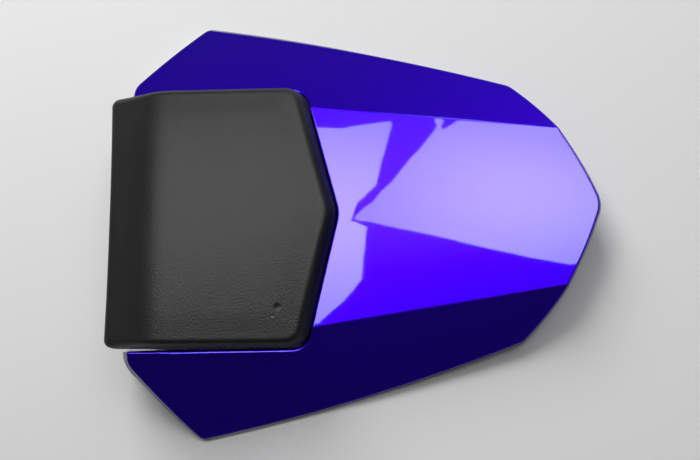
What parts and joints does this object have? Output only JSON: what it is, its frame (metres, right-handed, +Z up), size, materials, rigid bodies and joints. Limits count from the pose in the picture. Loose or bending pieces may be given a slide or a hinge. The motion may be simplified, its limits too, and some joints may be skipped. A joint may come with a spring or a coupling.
{
  "type": "seat cowl",
  "caption": "Painted seat cowl with faceted wings, a tapering tail and a crowned backrest pad in a V-backed opening, on a screwed base with latch loop and tongue.",
  "frame": {"origin": "middle of the outer box, on the surface that the cowl rests on", "axes": "+X towards the tail tip, +Y towards the right-hand wing seen from the front, +Z up; the plane y = 0 is the mirror plane"},
  "size_m": [0.327, 0.2994, 0.0629],
  "materials": {
    "paint": "deep blue gloss paint on moulded plastic",
    "base_plastic": "fine-grained dark moulded plastic",
    "pad_skin": "black leather-grain skin over foam",
    "plate_plastic": "plain black moulded plastic",
    "plated_steel": "zinc-plated pressed steel",
    "zinc": "bright zinc plate",
    "insert_brass": "turned",
    "buffer_rubber": "matt black moulded rubber"
  },
  "bodies": {
    "root": {"cowl_shell": "paint", "base_panel": "base_plastic", "backrest_pad": "pad_skin", "pad_base": "plate_plastic", "pad_screws": "zinc", "pad_washers": "zinc", "pad_inserts": "insert_brass", "striker_bracket": "plated_steel", "striker_loop": "plated_steel", "striker_bolts": "zinc", "striker_nuts": "zinc", "tail_tongue": "plated_steel", "tongue_bolts": "zinc", "tongue_nuts": "zinc", "buffer_front_left": "buffer_rubber", "buffer_front_right": "buffer_rubber", "buffer_rear_left": "buffer_rubber", "buffer_rear_right": "buffer_rubber", "panel_screws": "zinc", "panel_washers": "zinc"}
  },
  "joints": []
}
